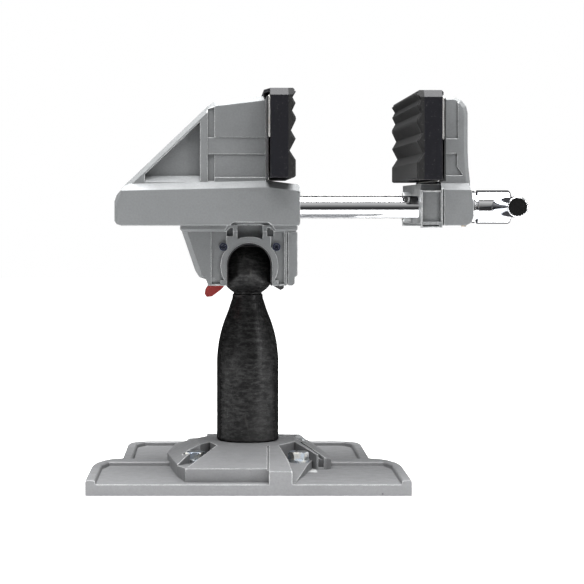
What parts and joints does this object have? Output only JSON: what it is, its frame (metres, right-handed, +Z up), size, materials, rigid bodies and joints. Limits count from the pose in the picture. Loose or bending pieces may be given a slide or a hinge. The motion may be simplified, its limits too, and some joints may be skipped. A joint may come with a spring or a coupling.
{
  "type": "bench vise",
  "caption": "Ball-joint bench vise: stepped flat base, black column, tilting head with fixed jaw, moving jaw on guide rods with ribbed soft pads and a sliding T-bar handle.",
  "frame": {"origin": "middle of the base underside", "axes": "+Z up along the column, +X from the fixed jaw to the moving jaw, +Y along the jaws"},
  "size_m": [0.2342, 0.1708, 0.2138],
  "materials": {
    "cast_grey": "satin grey powder coat over die casting",
    "column_black": "satin black coat",
    "zinc": "bright zinc plate",
    "steel_plain": "satin",
    "chrome": "polished",
    "pad_rubber": "matte moulded",
    "liner_black": "matte",
    "lever_red": "semi-gloss",
    "screw_black": "black oxide",
    "bronze": "machined",
    "plug_black": "matte"
  },
  "bodies": {
    "stand": {"base_bolt_far_left": "zinc", "base_bolt_far_right": "zinc", "base_bolt_near_left": "zinc", "base_bolt_near_right": "zinc", "base_mat": "pad_rubber", "base_plate": "cast_grey", "base_washer_far_left": "zinc", "base_washer_far_right": "zinc", "base_washer_near_left": "zinc", "base_washer_near_right": "zinc", "column": "column_black", "column_bolt": "zinc", "foot_plate": "zinc"},
    "swivel": {"swivel_shell": "liner_black"},
    "tilt": {"tilt_shell": "liner_black"},
    "head": {"body_stud_far": "steel_plain", "body_stud_near": "steel_plain", "clamp_block": "cast_grey", "clamp_gasket": "liner_black", "clamp_screw_far": "screw_black", "clamp_screw_near": "screw_black", "fixed_jaw_plate": "steel_plain", "fixed_jaw_sheet": "liner_black", "fixed_plate_screw_far_high": "screw_black", "fixed_plate_screw_far_low": "screw_black", "fixed_plate_screw_near_high": "screw_black", "fixed_plate_screw_near_low": "screw_black", "jaw_body": "cast_grey", "lever_pin": "steel_plain", "rod_bush_far": "bronze", "rod_bush_near": "bronze", "screw_nut": "bronze", "socket_housing": "cast_grey", "socket_liner": "liner_black", "socket_screw_left": "screw_black", "socket_screw_right": "screw_black", "stop_tip": "liner_black"},
    "lever": {"lock_lever": "lever_red"},
    "fixed_pad": {"fixed_jaw_pad": "pad_rubber"},
    "carriage": {"guide_rod_far": "chrome", "guide_rod_near": "chrome", "moving_jaw": "cast_grey", "moving_jaw_plate": "steel_plain", "moving_jaw_sheet": "liner_black", "moving_plate_screw_far_high": "screw_black", "moving_plate_screw_far_low": "screw_black", "moving_plate_screw_near_high": "screw_black", "moving_plate_screw_near_low": "screw_black", "rod_set_screw_far": "screw_black", "rod_set_screw_near": "screw_black", "screw_bush": "bronze"},
    "moving_pad": {"moving_jaw_pad": "pad_rubber"},
    "screw": {"lead_screw": "steel_plain", "retaining_ring": "steel_plain", "screw_boss": "chrome", "thrust_washer": "steel_plain"},
    "bar": {"bar_plug_far": "plug_black", "bar_plug_near": "plug_black", "t_bar": "chrome"}
  },
  "joints": [
    {"name": "head_turn", "type": "hinge", "parent": "stand", "child": "swivel", "pos_m": [0.0008, 0, 0.1163], "axis": [0, 0, 1], "continuous": true},
    {"name": "head_tilt", "type": "hinge", "parent": "swivel", "child": "tilt", "pos_m": [0.0008, 0, 0.1163], "axis": [1, 0, 0], "range_deg": [-90, 90]},
    {"name": "head_pitch", "type": "hinge", "parent": "tilt", "child": "head", "pos_m": [0.0008, 0, 0.1163], "axis": [0, 1, 0], "range_deg": [-10, 10]},
    {"name": "lever_release", "type": "hinge", "parent": "head", "child": "lever", "pos_m": [-0.0186, -0.0145, 0.1106], "axis": [0, 1, 0], "range_deg": [0, 45]},
    {"name": "jaw_slide", "type": "slide", "parent": "head", "child": "carriage", "axis": [1, 0, 0], "range_m": [-0.063, 0.008]},
    {"name": "screw_turn", "type": "hinge", "parent": "carriage", "child": "screw", "pos_m": [0.12, 0, 0.1508], "axis": [1, 0, 0], "range_deg": [-5710, 760]},
    {"name": "t_bar_slide", "type": "slide", "parent": "screw", "child": "bar", "axis": [0, 1, 0], "range_m": [-0.045, 0.045]},
    {"name": "fixed_pad_lift", "type": "slide", "parent": "head", "child": "fixed_pad", "axis": [0, 0, 1], "range_m": [0, 0.05]},
    {"name": "moving_pad_lift", "type": "slide", "parent": "carriage", "child": "moving_pad", "axis": [0, 0, 1], "range_m": [0, 0.05]}
  ],
  "couplings": [
    {"joint": "screw_turn", "follows": "jaw_slide", "rad_per_m": 1570.8}
  ]
}
